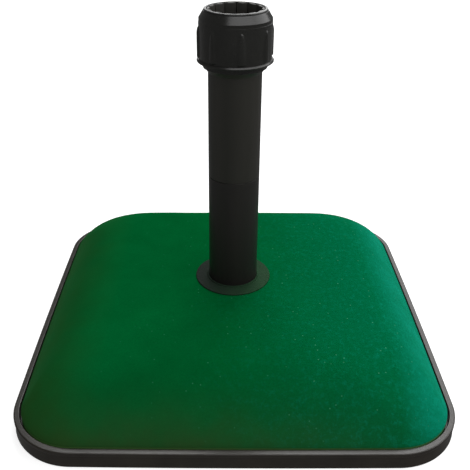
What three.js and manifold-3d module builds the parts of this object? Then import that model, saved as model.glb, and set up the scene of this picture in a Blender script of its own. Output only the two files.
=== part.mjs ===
// Square concrete parasol base: a painted concrete block in a plastic edge tray, a two-piece
// pole tube held by a bolt from below, and a screw-down clamp nut with a split collet.
// Millimetres, +Z up. The origin is on the ground under the pole axis, and -Y is the front.

import * as THREE from "three";
import { mergeVertices } from "three/addons/utils/BufferGeometryUtils.js";
import Module from "manifold-3d";

const wasm = await Module();
wasm.setup();

// ---- driving dimensions ----

const CLEARANCE = 0.3; // air between pieces that touch in the real object
const ROUND_SEGMENTS = 40; // facets round every turned piece

// Plan of the slab: a rounded square whose sides bulge slightly.
const SLAB_HALF_WIDTH = 225;
const SLAB_CORNER_RADIUS = 66;
const SIDE_BULGE = 2;
const SIDE_SEGMENTS = 4;
const CORNER_SEGMENTS = 10;

// Edge tray.
const PAD_STANDS_PROUD = 0.3;
const TRAY_WALL = 3;
const TRAY_WALL_LEAN = 1.8; // the wall leans in towards the top, under the lip
const LIP_UNDERSIDE_Z = 14.6;
const LIP_TOP_Z = 18.7;
const LIP_WIDTH = 5.7;
const LIP_EDGE_ROUND = 1;
const LIP_OVERHANG_SLOPE = 0.2; // height over which the lip reaches out past the wall
const TRAY_FLOOR_Z = 7.2;
const TRAY_FLOOR_THICKNESS = 2.2;

// Concrete block.
const BLOCK_INSET = 7.6; // from the tray's outer edge to the green edge
const BLOCK_EDGE_Z = 19.6;
const DOME_RISE = 50.7;
const DOME_SHOULDER = 78; // the dome curves over this much of its width, then is nearly flat
const DOME_POWER = 2.3;
const CROWN_RISE = 2.7; // from the edge to the flange, besides the dome's own rise
const DOME_STEPS = 10;
const BLOCK_FOOT_BEVEL = 1.6;
const BLOCK_FOOT_BEVEL_HEIGHT = 3;
const DOME_STEP_GROWTH = 1.7; // steps are short at the steep edge, longer towards the shoulder
const DOME_CORNER_TIGHTENS = 0.42;
const DOME_CORNER_OPENS = 0.0112;
const DOME_LAST_RING = 1.3; // how far in, in widths of the shoulder
const FLAT_TOP_MARGIN = 14; // round the flange, where the crown is flat
const SOCKET_CUT_MARGIN = 10; // how far the cut for the socket runs past the crown
const BLOCK_FLOOR_Z = TRAY_FLOOR_Z + TRAY_FLOOR_THICKNESS + CLEARANCE;

// Pole tube.
const TUBE_RADIUS = 27.8;
const TUBE_WALL = 1.85;
const TUBE_BORE = TUBE_RADIUS - TUBE_WALL;
const SEAM_Z = 205;
const COUPLER_REACH = 30;
const COUPLER_WALL = 1.4;
const COUPLER_LEAD_IN = 1; // height of the bevel at each end of its bore

// Foot of the tube.
const SOCKET_WALL = 4.8;
const SOCKET_FLOOR_Z = 20;
const SOCKET_FLOOR_THICKNESS = 3;
const FLANGE_RADIUS = 43.4;
const FLANGE_THICKNESS = 1.4;
const FLANGE_BOSS_RADIUS = 29.9;
const FLANGE_BOSS_HEIGHT = 1.6;
const FLANGE_EDGE_BEVEL = 0.4;
const PLUG_HEIGHT = 10;
const PLUG_FLANGE_THICKNESS = 2.7;
const BOLT_RADIUS = 4.8;
const BOLT_HOLE_RADIUS = 5.4;
const BOLT_HEAD_ACROSS_CORNERS = 18.5;
const BOLT_HEAD_HEIGHT = 4;
const BOLT_TIP_Z = 33;
const BOLT_TIP_BEVEL = 1;
const WASHER_RADIUS = 15;
const WASHER_THICKNESS = 1.4;

// Threaded neck at the top of the upper tube.
const FLARE_BOTTOM_Z = 319.9;
const FLARE_TOP_Z = 325.1;
const FLARE_RADIUS = 31.6;
const FLARE_EDGE_HEIGHT = 1.5;
const FLARE_TO_NECK = 1; // height of the slope from the flare's edge to the neck
const THREAD_PITCH = 4;
const THREAD_FOOT_WIDTH = 2.1;
const THREAD_CREST_WIDTH = 1;
const THREAD_LEAD_IN = 0.12; // turns over which an end sinks away
const THREAD_STEPS_PER_TURN = 28;
const THREAD_FOOT_SUNK = 1.2; // how deep the ridge's foot lies in the wall
const THREAD_END_SUNK = 0.4;
const NECK_CORE_RADIUS = 29.1;
const NECK_CREST_RADIUS = 31.2;
const NECK_PILOT_RADIUS = 28.3;
const NECK_THREAD_BOTTOM_Z = 329.5;
const NECK_THREAD_TURNS = 3.9;
const NECK_PILOT_Z = 347.6;
const NECK_TOP_Z = 350.8;

// Clamp nut.
const NUT_BOTTOM_Z = 325.1;
const NUT_BAND_BOTTOM_Z = 330.9;
const NUT_SHOULDER_Z = 373.7;
const NUT_TOP_Z = 383;
const NUT_FOOT_RADIUS = 33;
const NUT_RADIUS = 37.1;
const NUT_BEAD_RADIUS = 39.1; // a bead with a bevelled top, round the band's lower edge
const NUT_BEAD_HEIGHT = 2.8;
const NUT_BEAD_ROUND = 0.8;
const NUT_BEAD_LEDGE_RADIUS = 38.1;
const NUT_BEAD_BEVEL_HEIGHT = 1.5;
const NUT_MOUTH_OUTER_RADIUS = 31.1; // where the shoulder's slope would meet the top
const NUT_RIM_RADIUS = 31.9; // a low rim round the mouth
const NUT_RIM_Z = 381.5;
const NUT_RIM_CHAMFER = 0.8;
const NUT_MOUTH_RADIUS = 29;
const NUT_BORE_RADIUS = 31.9;
const NUT_CREST_RADIUS = 29.8;
const NUT_THREAD_BOTTOM_Z = 333.5;
const NUT_THREAD_TURNS = 2.4;
const NUT_LIP_Z = 349.4;
const NUT_LIP_RADIUS = 29.7;
const NUT_GROOVE_Z = 351.4;
const NUT_GROOVE_RADIUS = 33;
const NUT_CONE_Z = 354.6;
const NUT_CONE_RADIUS = 31.3;
const RIB_COUNT = 8;
const RIB_WIDTH = 8;
const RIB_RADIUS = 39;
const RIB_SUNK_RADIUS = NUT_RADIUS - 1.5; // the ribs' roots lie inside the wall
const RIB_CLEAR_OF_BEAD = 1.4;
const RIB_BOTTOM_Z = NUT_BAND_BOTTOM_Z + NUT_BEAD_HEIGHT + RIB_CLEAR_OF_BEAD;
const RIB_TOP_Z = 366.3;
const RIB_START_ANGLE = THREE.MathUtils.degToRad(-81.7);

// Collet.
const COLLET_BORE = 25.3;
const COLLET_FLANGE_RADIUS = 32.5;
const COLLET_FLANGE_THICKNESS = 2.4;
const COLLET_FLANGE_PLAY = 0.4; // under the flange, in the nut's groove
const COLLET_TOP_Z = 382.6; // the finger tips show just under the nut's rim
const COLLET_CONE_CLEARANCE = 0.6;
const COLLET_LEAD_IN = 1.6; // height of the bevel at each end of the bore
const COLLET_FINGERS = 14; // an even number, so each slot has another opposite it
const COLLET_SLOT_WIDTH = 1.5;
const COLLET_SLOT_START_ANGLE = THREE.MathUtils.degToRad(-92.2);
const COLLET_SLOT_BOTTOM_Z = 360;

// Ground pads.
const PAD_RADIUS = 14;
const PAD_OFFSET = 150;

// ---- solids ----

function signedVolume(geometry) {
  const position = geometry.attributes.position;
  const index = geometry.index;
  const [a, b, c] = [new THREE.Vector3(), new THREE.Vector3(), new THREE.Vector3()];
  let sum = 0;
  for (let i = 0; i < index.count; i += 3) {
    a.fromBufferAttribute(position, index.getX(i));
    b.fromBufferAttribute(position, index.getX(i + 1));
    c.fromBufferAttribute(position, index.getX(i + 2));
    sum += a.dot(b.cross(c)) / 6;
  }
  return sum;
}

// Merge shared vertices, drop triangles that closed up to a line, and face the surface out.
function closed(geometry) {
  geometry.deleteAttribute("normal");
  geometry.deleteAttribute("uv");
  const merged = mergeVertices(geometry, 1e-4);
  const corners = merged.index.array;
  const kept = [];
  for (let i = 0; i < corners.length; i += 3) {
    const [a, b, c] = [corners[i], corners[i + 1], corners[i + 2]];
    if (a !== b && b !== c && c !== a) {
      kept.push(a, b, c);
    }
  }
  merged.setIndex(kept);
  if (signedVolume(merged) < 0) {
    for (let i = 0; i < kept.length; i += 3) {
      [kept[i + 1], kept[i + 2]] = [kept[i + 2], kept[i + 1]];
    }
    merged.setIndex(kept);
  }
  return merged;
}

function toManifold(geometry) {
  const shape = closed(geometry);
  return new wasm.Manifold(new wasm.Mesh({
    numProp: 3,
    vertProperties: new Float32Array(shape.attributes.position.array),
    triVerts: new Uint32Array(shape.index.array),
  }));
}

function fromManifold(manifold) {
  const mesh = manifold.getMesh();
  const geometry = new THREE.BufferGeometry();
  geometry.setAttribute("position", new THREE.BufferAttribute(mesh.vertProperties, 3));
  geometry.setIndex(new THREE.BufferAttribute(mesh.triVerts, 1));
  return geometry;
}

// A turned solid about +Z. The outline is a list of [radius, z] that closes on itself, or
// that starts and ends on the axis.
function turned(outline, segments = ROUND_SEGMENTS) {
  const touchesAxis = outline[0][0] === 0;
  const points = touchesAxis ? outline : [...outline, outline[0]];
  const geometry = new THREE.LatheGeometry(points.map(([r, z]) => new THREE.Vector2(r, z)), segments);
  geometry.rotateX(Math.PI / 2);
  return closed(geometry);
}

function disc(radius, bottom, top, segments = ROUND_SEGMENTS) {
  return turned([[0, bottom], [radius, bottom], [radius, top], [0, top]], segments);
}

function ring(inner, outer, bottom, top) {
  return turned([[inner, bottom], [outer, bottom], [outer, top], [inner, top]]);
}

// ---- the slab's rounded-square plan ----

// Distance from the axis to a rounded square's edge in one direction.
function roundedSquareReach(halfWidth, cornerRadius, angle) {
  const c = Math.abs(Math.cos(angle));
  const s = Math.abs(Math.sin(angle));
  const flat = halfWidth - cornerRadius;
  const sideReach = halfWidth / Math.max(c, s);
  if (sideReach * Math.min(c, s) <= flat) {
    return sideReach;
  }
  return flat * (c + s) + Math.sqrt(cornerRadius ** 2 - flat ** 2 * (c - s) ** 2);
}

// Directions from the axis: a few along each side and many round each corner.
function slabDirections() {
  const flat = SLAB_HALF_WIDTH - SLAB_CORNER_RADIUS;
  const directions = [];
  for (let quarter = 0; quarter < 4; quarter++) {
    const turn = quarter * Math.PI / 2;
    for (let i = 0; i < SIDE_SEGMENTS; i++) {
      const along = -flat + 2 * flat * i / SIDE_SEGMENTS;
      directions.push(turn + Math.atan2(along, SLAB_HALF_WIDTH));
    }
    for (let i = 0; i < CORNER_SEGMENTS; i++) {
      const sweep = Math.PI / 2 * i / CORNER_SEGMENTS;
      const x = flat + SLAB_CORNER_RADIUS * Math.cos(sweep);
      const y = flat + SLAB_CORNER_RADIUS * Math.sin(sweep);
      directions.push(turn + Math.atan2(y, x));
    }
  }
  return directions;
}

const DIRECTIONS = slabDirections();

// A LatheGeometry whose rings are drawn out to rounded squares. Each ring is
// {half, corner, bulge, z}: half-width, corner radius, side bulge and height.
function slabTurned(rings) {
  const points = [...rings, rings[0]];
  const geometry = new THREE.LatheGeometry(
    points.map((ring) => new THREE.Vector2(ring.half, ring.z)),
    DIRECTIONS.length,
  );
  const position = geometry.attributes.position;
  for (let i = 0; i <= DIRECTIONS.length; i++) {
    const angle = DIRECTIONS[i % DIRECTIONS.length];
    points.forEach((ring, j) => {
      const base = ring.half - ring.bulge;
      const reach = roundedSquareReach(base, Math.min(ring.corner, base), angle);
      const x = reach * Math.cos(angle);
      const y = reach * Math.sin(angle);
      const bulgeX = 1 + ring.bulge / base * (1 - (y / base) ** 2);
      const bulgeY = 1 + ring.bulge / base * (1 - (x / base) ** 2);
      position.setXYZ(i * points.length + j, x * bulgeX, y * bulgeY, ring.z);
    });
  }
  return closed(geometry);
}

// A ring set in from the tray's outer edge by a constant distance.
function trayRing(inset, z) {
  const half = SLAB_HALF_WIDTH - inset;
  return { half, corner: SLAB_CORNER_RADIUS - inset, bulge: SIDE_BULGE, z };
}

function roundRing(radius, z) {
  return { half: radius, corner: radius, bulge: 0, z };
}

// A ring of the dome, a distance in from the green edge. The corners first tighten a little,
// then open out until the ring is a circle.
function domeRing(distance) {
  const left = Math.max(0, 1 - distance / DOME_SHOULDER);
  const half = SLAB_HALF_WIDTH - BLOCK_INSET - distance;
  const cornerAtEdge = SLAB_CORNER_RADIUS - BLOCK_INSET;
  const corner = cornerAtEdge - DOME_CORNER_TIGHTENS * distance + DOME_CORNER_OPENS * distance ** 2;
  const toCrown = Math.max(0, 1 - distance / (2 * DOME_SHOULDER));
  const crown = CROWN_RISE * (1 - toCrown ** 2);
  const z = BLOCK_EDGE_Z + DOME_RISE * (1 - left ** DOME_POWER) + crown;
  return { half, corner, bulge: SIDE_BULGE * left, z };
}

// ---- screw threads ----

// A right-hand helical ridge: a box bent round the axis. Its foot is sunk into the wall it
// stands on, and both ends sink out of sight.
// wallRadius is the radius of the wall it stands on, crestRadius that of its crest.
function threadRidge(wallRadius, crestRadius, bottom, turns) {
  const outward = Math.sign(crestRadius - wallRadius);
  const footRadius = wallRadius - outward * THREAD_FOOT_SUNK;
  const endRadius = wallRadius - outward * THREAD_END_SUNK;
  const steps = Math.round(turns * THREAD_STEPS_PER_TURN);
  const geometry = new THREE.BoxGeometry(1, 1, 1, steps, 1, 1);
  const position = geometry.attributes.position;
  for (let i = 0; i < position.count; i++) {
    const turn = (position.getX(i) + 0.5) * turns;
    const atCrest = position.getY(i) > 0;
    const nearEnd = Math.min(turn, turns - turn) / THREAD_LEAD_IN;
    const crest = THREE.MathUtils.lerp(endRadius, crestRadius, Math.min(1, nearEnd));
    const radius = atCrest ? crest : footRadius;
    const width = atCrest ? THREAD_CREST_WIDTH : THREAD_FOOT_WIDTH;
    const angle = turn * 2 * Math.PI;
    const z = bottom + turn * THREAD_PITCH + position.getZ(i) * width;
    position.setXYZ(i, radius * Math.cos(angle), radius * Math.sin(angle), z);
  }
  return geometry;
}

// ---- slab and tray ----

function edgeTray() {
  const wallFoot = PAD_STANDS_PROUD;
  const inner = LIP_WIDTH + CLEARANCE;
  const floorTop = TRAY_FLOOR_Z + TRAY_FLOOR_THICKNESS;
  return slabTurned([
    trayRing(0, wallFoot),
    trayRing(TRAY_WALL_LEAN, LIP_UNDERSIDE_Z),
    trayRing(0, LIP_UNDERSIDE_Z + LIP_OVERHANG_SLOPE),
    trayRing(0, LIP_TOP_Z - LIP_EDGE_ROUND),
    trayRing(LIP_EDGE_ROUND, LIP_TOP_Z),
    trayRing(LIP_WIDTH, LIP_TOP_Z),
    trayRing(inner, floorTop),
    roundRing(BOLT_HOLE_RADIUS, floorTop),
    roundRing(BOLT_HOLE_RADIUS, TRAY_FLOOR_Z),
    trayRing(TRAY_WALL + TRAY_WALL_LEAN, TRAY_FLOOR_Z),
    trayRing(TRAY_WALL, wallFoot),
  ]);
}

function concreteBlock() {
  const rings = [
    trayRing(BLOCK_INSET + BLOCK_FOOT_BEVEL, BLOCK_FLOOR_Z),
    trayRing(BLOCK_INSET, BLOCK_FLOOR_Z + BLOCK_FOOT_BEVEL_HEIGHT),
  ];
  for (let i = 0; i <= DOME_STEPS; i++) {
    rings.push(domeRing(DOME_SHOULDER * (i / DOME_STEPS) ** DOME_STEP_GROWTH));
  }
  const crownTop = BLOCK_EDGE_Z + DOME_RISE + CROWN_RISE;
  const socket = TUBE_RADIUS + 2 * CLEARANCE + SOCKET_WALL;
  const socketFloor = SOCKET_FLOOR_Z - CLEARANCE;
  rings.push(domeRing(DOME_LAST_RING * DOME_SHOULDER));
  rings.push(roundRing(FLANGE_RADIUS + FLAT_TOP_MARGIN, crownTop));
  rings.push(roundRing(BOLT_HOLE_RADIUS, crownTop));
  rings.push(roundRing(BOLT_HOLE_RADIUS, BLOCK_FLOOR_Z));
  const socketHole = disc(socket, socketFloor, crownTop + SOCKET_CUT_MARGIN);
  return fromManifold(toManifold(slabTurned(rings)).subtract(toManifold(socketHole)));
}

function groundPad(x, y) {
  const pad = disc(PAD_RADIUS, 0, TRAY_FLOOR_Z - CLEARANCE, 20);
  pad.translate(x, y, 0);
  return pad;
}

// ---- foot of the tube ----

function castSocket() {
  const inner = TUBE_RADIUS + CLEARANCE;
  const outer = inner + SOCKET_WALL;
  const floorTop = SOCKET_FLOOR_Z + SOCKET_FLOOR_THICKNESS;
  const top = BLOCK_EDGE_Z + DOME_RISE + CROWN_RISE;
  return turned([
    [BOLT_HOLE_RADIUS, SOCKET_FLOOR_Z],
    [outer, SOCKET_FLOOR_Z],
    [outer, top],
    [inner, top],
    [inner, floorTop],
    [BOLT_HOLE_RADIUS, floorTop],
  ]);
}

const FLANGE_BOTTOM_Z = BLOCK_EDGE_Z + DOME_RISE + CROWN_RISE + CLEARANCE;

function footFlange() {
  const inner = TUBE_RADIUS + CLEARANCE;
  const top = FLANGE_BOTTOM_Z + FLANGE_THICKNESS;
  const bossTop = top + FLANGE_BOSS_HEIGHT;
  return turned([
    [inner, FLANGE_BOTTOM_Z],
    [FLANGE_RADIUS, FLANGE_BOTTOM_Z],
    [FLANGE_RADIUS, top - FLANGE_EDGE_BEVEL],
    [FLANGE_RADIUS - FLANGE_EDGE_BEVEL, top],
    [FLANGE_BOSS_RADIUS, top],
    [FLANGE_BOSS_RADIUS, bossTop - FLANGE_EDGE_BEVEL],
    [FLANGE_BOSS_RADIUS - FLANGE_EDGE_BEVEL, bossTop],
    [inner, bossTop],
  ]);
}

const PLUG_BOTTOM_Z = SOCKET_FLOOR_Z + SOCKET_FLOOR_THICKNESS + CLEARANCE;
const TUBE_BOTTOM_Z = PLUG_BOTTOM_Z + PLUG_FLANGE_THICKNESS + CLEARANCE;

function tubePlug() {
  const flangeTop = PLUG_BOTTOM_Z + PLUG_FLANGE_THICKNESS;
  const body = TUBE_BORE - CLEARANCE;
  const top = flangeTop + PLUG_HEIGHT;
  const holeTop = BOLT_TIP_Z + CLEARANCE;
  return turned([
    [0, holeTop],
    [BOLT_HOLE_RADIUS, holeTop],
    [BOLT_HOLE_RADIUS, PLUG_BOTTOM_Z],
    [TUBE_RADIUS, PLUG_BOTTOM_Z],
    [TUBE_RADIUS, flangeTop],
    [body, flangeTop],
    [body, top],
    [0, top],
  ]);
}

const WASHER_TOP_Z = TRAY_FLOOR_Z - CLEARANCE;
const BOLT_SHOULDER_Z = WASHER_TOP_Z - WASHER_THICKNESS - CLEARANCE;

function baseWasher() {
  return ring(BOLT_HOLE_RADIUS, WASHER_RADIUS, WASHER_TOP_Z - WASHER_THICKNESS, WASHER_TOP_Z);
}

function baseBolt() {
  const headMiddle = BOLT_SHOULDER_Z - BOLT_HEAD_HEIGHT / 2;
  const head = new THREE.CylinderGeometry(
    BOLT_HEAD_ACROSS_CORNERS / 2, BOLT_HEAD_ACROSS_CORNERS / 2, BOLT_HEAD_HEIGHT, 6,
  );
  head.rotateX(Math.PI / 2);
  head.translate(0, 0, headMiddle);
  const shank = turned([
    [0, headMiddle],
    [BOLT_RADIUS, headMiddle],
    [BOLT_RADIUS, BOLT_TIP_Z - BOLT_TIP_BEVEL],
    [BOLT_RADIUS - BOLT_TIP_BEVEL, BOLT_TIP_Z],
    [0, BOLT_TIP_Z],
  ], 20);
  return fromManifold(toManifold(head).add(toManifold(shank)));
}

// ---- tube ----

function lowerTube() {
  return ring(TUBE_BORE, TUBE_RADIUS, TUBE_BOTTOM_Z, SEAM_Z - CLEARANCE / 2);
}

function tubeCoupler() {
  const outer = TUBE_BORE - CLEARANCE;
  const inner = outer - COUPLER_WALL;
  const bottom = SEAM_Z - COUPLER_REACH;
  const top = SEAM_Z + COUPLER_REACH;
  return turned([
    [inner, bottom + COUPLER_LEAD_IN],
    [inner + COUPLER_WALL / 2, bottom],
    [outer, bottom],
    [outer, top],
    [inner + COUPLER_WALL / 2, top],
    [inner, top - COUPLER_LEAD_IN],
  ]);
}

function upperTube() {
  const body = turned([
    [TUBE_BORE, SEAM_Z + CLEARANCE / 2],
    [TUBE_RADIUS, SEAM_Z + CLEARANCE / 2],
    [TUBE_RADIUS, FLARE_BOTTOM_Z],
    [FLARE_RADIUS, FLARE_TOP_Z],
    [FLARE_RADIUS, FLARE_TOP_Z + FLARE_EDGE_HEIGHT],
    [NECK_CORE_RADIUS, FLARE_TOP_Z + FLARE_EDGE_HEIGHT + FLARE_TO_NECK],
    [NECK_CORE_RADIUS, NECK_PILOT_Z],
    [NECK_PILOT_RADIUS, NECK_PILOT_Z + NECK_CORE_RADIUS - NECK_PILOT_RADIUS],
    [NECK_PILOT_RADIUS, NECK_TOP_Z],
    [TUBE_BORE, NECK_TOP_Z],
  ]);
  const ridge = threadRidge(
    NECK_CORE_RADIUS, NECK_CREST_RADIUS, NECK_THREAD_BOTTOM_Z, NECK_THREAD_TURNS,
  );
  return fromManifold(toManifold(body).add(toManifold(ridge)));
}

// ---- clamp ----

function nutRib() {
  const half = RIB_WIDTH / 2;
  const shape = new THREE.Shape();
  shape.moveTo(RIB_SUNK_RADIUS, -half);
  shape.lineTo(NUT_RADIUS, -half);
  shape.quadraticCurveTo(RIB_RADIUS, -half * 0.8, RIB_RADIUS, 0);
  shape.quadraticCurveTo(RIB_RADIUS, half * 0.8, NUT_RADIUS, half);
  shape.lineTo(RIB_SUNK_RADIUS, half);
  shape.closePath();
  const rib = new THREE.ExtrudeGeometry(shape, {
    depth: RIB_TOP_Z - RIB_BOTTOM_Z,
    bevelEnabled: false,
    curveSegments: 3,
  });
  rib.translate(0, 0, RIB_BOTTOM_Z);
  return rib;
}

function clampNut() {
  const shoulderSlope = (NUT_RADIUS - NUT_MOUTH_OUTER_RADIUS) / (NUT_TOP_Z - NUT_SHOULDER_Z);
  const shoulderRadius = (z) => NUT_RADIUS - shoulderSlope * (z - NUT_SHOULDER_Z);
  const beadTop = NUT_BAND_BOTTOM_Z + NUT_BEAD_HEIGHT;
  let nut = toManifold(turned([
    [NUT_BORE_RADIUS, NUT_BOTTOM_Z],
    [NUT_FOOT_RADIUS, NUT_BOTTOM_Z],
    [NUT_FOOT_RADIUS, NUT_BAND_BOTTOM_Z],
    [NUT_BEAD_RADIUS - NUT_BEAD_ROUND, NUT_BAND_BOTTOM_Z],
    [NUT_BEAD_RADIUS, NUT_BAND_BOTTOM_Z + NUT_BEAD_ROUND],
    [NUT_BEAD_RADIUS, beadTop - NUT_BEAD_BEVEL_HEIGHT],
    [NUT_BEAD_LEDGE_RADIUS, beadTop],
    [NUT_RADIUS, beadTop],
    [NUT_RADIUS, NUT_SHOULDER_Z],
    [shoulderRadius(NUT_RIM_Z), NUT_RIM_Z],
    [NUT_RIM_RADIUS, NUT_RIM_Z],
    [NUT_RIM_RADIUS, NUT_TOP_Z - NUT_RIM_CHAMFER],
    [NUT_RIM_RADIUS - NUT_RIM_CHAMFER, NUT_TOP_Z],
    [NUT_MOUTH_RADIUS, NUT_TOP_Z],
    [NUT_CONE_RADIUS, NUT_CONE_Z],
    [NUT_GROOVE_RADIUS, NUT_CONE_Z],
    [NUT_GROOVE_RADIUS, NUT_GROOVE_Z],
    [NUT_LIP_RADIUS, NUT_GROOVE_Z],
    [NUT_LIP_RADIUS, NUT_LIP_Z],
    [NUT_BORE_RADIUS, NUT_LIP_Z],
  ]));
  for (let i = 0; i < RIB_COUNT; i++) {
    const rib = nutRib();
    rib.rotateZ(RIB_START_ANGLE + i * 2 * Math.PI / RIB_COUNT);
    nut = nut.add(toManifold(rib));
  }
  // The nut's ridge runs half a pitch away from the neck's.
  const turnsFromNeckStart = Math.floor((NUT_THREAD_BOTTOM_Z - NECK_THREAD_BOTTOM_Z) / THREAD_PITCH);
  const ridgeBottom = NECK_THREAD_BOTTOM_Z + (turnsFromNeckStart + 0.5) * THREAD_PITCH;
  const ridge = threadRidge(NUT_BORE_RADIUS, NUT_CREST_RADIUS, ridgeBottom, NUT_THREAD_TURNS);
  return fromManifold(nut.add(toManifold(ridge)));
}

function collet() {
  const flangeBottom = NUT_GROOVE_Z + COLLET_FLANGE_PLAY;
  const flangeTop = flangeBottom + COLLET_FLANGE_THICKNESS;
  const coneSlope = (NUT_CONE_RADIUS - NUT_MOUTH_RADIUS) / (NUT_TOP_Z - NUT_CONE_Z);
  const coneRadius = (z) => NUT_CONE_RADIUS - COLLET_CONE_CLEARANCE - coneSlope * (z - NUT_CONE_Z);
  let body = toManifold(turned([
    [COLLET_BORE + COLLET_LEAD_IN / 2, flangeBottom],
    [COLLET_FLANGE_RADIUS, flangeBottom],
    [COLLET_FLANGE_RADIUS, flangeTop],
    [coneRadius(flangeTop), flangeTop],
    [coneRadius(COLLET_TOP_Z), COLLET_TOP_Z],
    [COLLET_BORE + COLLET_LEAD_IN / 2, COLLET_TOP_Z],
    [COLLET_BORE, COLLET_TOP_Z - COLLET_LEAD_IN],
    [COLLET_BORE, flangeBottom + COLLET_LEAD_IN],
  ]));
  const slotHeight = 2 * (COLLET_TOP_Z - COLLET_SLOT_BOTTOM_Z);
  const slotLength = 3 * COLLET_FLANGE_RADIUS;
  for (let i = 0; i < COLLET_FINGERS / 2; i++) {
    const slot = new THREE.BoxGeometry(slotLength, COLLET_SLOT_WIDTH, slotHeight);
    slot.translate(0, 0, COLLET_SLOT_BOTTOM_Z + slotHeight / 2);
    slot.rotateZ(COLLET_SLOT_START_ANGLE + i * 2 * Math.PI / COLLET_FINGERS);
    body = body.subtract(toManifold(slot));
  }
  return fromManifold(body);
}

// ---- assembly ----

const GREEN_PAINT = { color: 0x0b5a34, roughness: 0.55, metalness: 0 };
const BLACK_PLASTIC = { color: 0x232321, roughness: 0.45, metalness: 0 };
const SOFT_BLACK_PLASTIC = { color: 0x2e2e2b, roughness: 0.55, metalness: 0 };
const TRAY_PLASTIC = { color: 0x2f2f2c, roughness: 0.6, metalness: 0 };
const BLACK_TUBE = { color: 0x1c1c1b, roughness: 0.4, metalness: 0.2 };
const ZINC = { color: 0xa9abac, roughness: 0.35, metalness: 0.9 };
const RUBBER = { color: 0x1a1a1a, roughness: 0.9, metalness: 0 };

const base = new THREE.Group();

function addPiece(name, geometry, look) {
  const mesh = new THREE.Mesh(geometry, new THREE.MeshStandardMaterial(look));
  mesh.name = name;
  base.add(mesh);
}

addPiece("concrete_block", concreteBlock(), GREEN_PAINT);
addPiece("edge_tray", edgeTray(), TRAY_PLASTIC);
addPiece("cast_socket", castSocket(), BLACK_PLASTIC);
addPiece("foot_flange", footFlange(), BLACK_PLASTIC);
addPiece("lower_tube", lowerTube(), BLACK_TUBE);
addPiece("tube_coupler", tubeCoupler(), BLACK_PLASTIC);
addPiece("upper_tube", upperTube(), SOFT_BLACK_PLASTIC);
addPiece("tube_plug", tubePlug(), BLACK_PLASTIC);
addPiece("base_washer", baseWasher(), ZINC);
addPiece("base_bolt", baseBolt(), ZINC);
addPiece("collet", collet(), SOFT_BLACK_PLASTIC);
addPiece("clamp_nut", clampNut(), BLACK_PLASTIC);

for (const [side, x] of [["left", -PAD_OFFSET], ["right", PAD_OFFSET]]) {
  for (const [end, y] of [["front", -PAD_OFFSET], ["back", PAD_OFFSET]]) {
    addPiece(`pad_${end}_${side}`, groundPad(x, y), RUBBER);
  }
}

export default base;
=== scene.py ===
import math

import bmesh
import bpy
from mathutils import Matrix, Vector, noise


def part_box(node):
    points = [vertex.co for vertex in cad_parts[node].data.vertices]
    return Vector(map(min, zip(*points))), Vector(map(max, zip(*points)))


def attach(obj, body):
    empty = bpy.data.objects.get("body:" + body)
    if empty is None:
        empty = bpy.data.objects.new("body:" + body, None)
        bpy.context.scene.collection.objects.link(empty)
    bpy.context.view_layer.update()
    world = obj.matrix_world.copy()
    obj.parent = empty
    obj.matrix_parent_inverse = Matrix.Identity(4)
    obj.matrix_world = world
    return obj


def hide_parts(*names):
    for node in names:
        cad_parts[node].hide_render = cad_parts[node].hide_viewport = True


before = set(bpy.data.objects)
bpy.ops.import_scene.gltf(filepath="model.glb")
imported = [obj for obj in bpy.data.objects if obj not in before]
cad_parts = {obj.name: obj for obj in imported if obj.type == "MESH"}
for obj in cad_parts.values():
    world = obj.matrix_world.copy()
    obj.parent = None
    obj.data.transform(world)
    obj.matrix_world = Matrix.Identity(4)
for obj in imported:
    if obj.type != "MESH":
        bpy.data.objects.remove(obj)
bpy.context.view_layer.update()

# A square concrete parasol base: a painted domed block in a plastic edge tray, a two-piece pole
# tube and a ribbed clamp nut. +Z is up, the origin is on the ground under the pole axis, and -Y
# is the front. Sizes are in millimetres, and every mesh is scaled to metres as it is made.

MM = 0.001


def low(node):
    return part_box(node)[0] / MM


def high(node):
    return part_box(node)[1] / MM


# ---- sizes ----

ROUND_COLUMNS = 144  # facets round a plain turned piece
SMALL_COLUMNS = 96  # facets round the bolt and its washer
FINE_COLUMNS = 288  # facets round a piece with ribs or a thread
ARC_STEPS = 5  # facets round a rounded corner
CLEARANCE = 0.3  # between pieces that touch in the real object

# Plan of the slab: a rounded square whose sides bulge slightly.
SLAB_HALF = high("edge_tray").x
SLAB_CORNER = 66
SIDE_BULGE = 2
SIDE_COLUMNS = 28
CORNER_COLUMNS = 40

# Edge tray.
TRAY_FOOT_Z = low("edge_tray").z
LIP_TOP_Z = high("edge_tray").z
LIP_UNDERSIDE_Z = LIP_TOP_Z - 4
LIP_WIDTH = 5.7
LIP_STEP = 0.2  # height over which the lip reaches out past the wall
FRONT_LIP_EXTRA = 1.1  # the lip is that much wider along the front side
FRONT_LIP_FROM = 0.75  # where that begins, as a share of the slab's half width
FRONT_LIP_OVER = 0.2  # and the share over which it grows to its full width
WALL_THICKNESS = 3
WALL_LEAN = 1.8  # the wall leans in towards its top, under the lip
TRAY_FLOOR_Z = 7.2
TRAY_FLOOR_TOP_Z = 9.4

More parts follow.
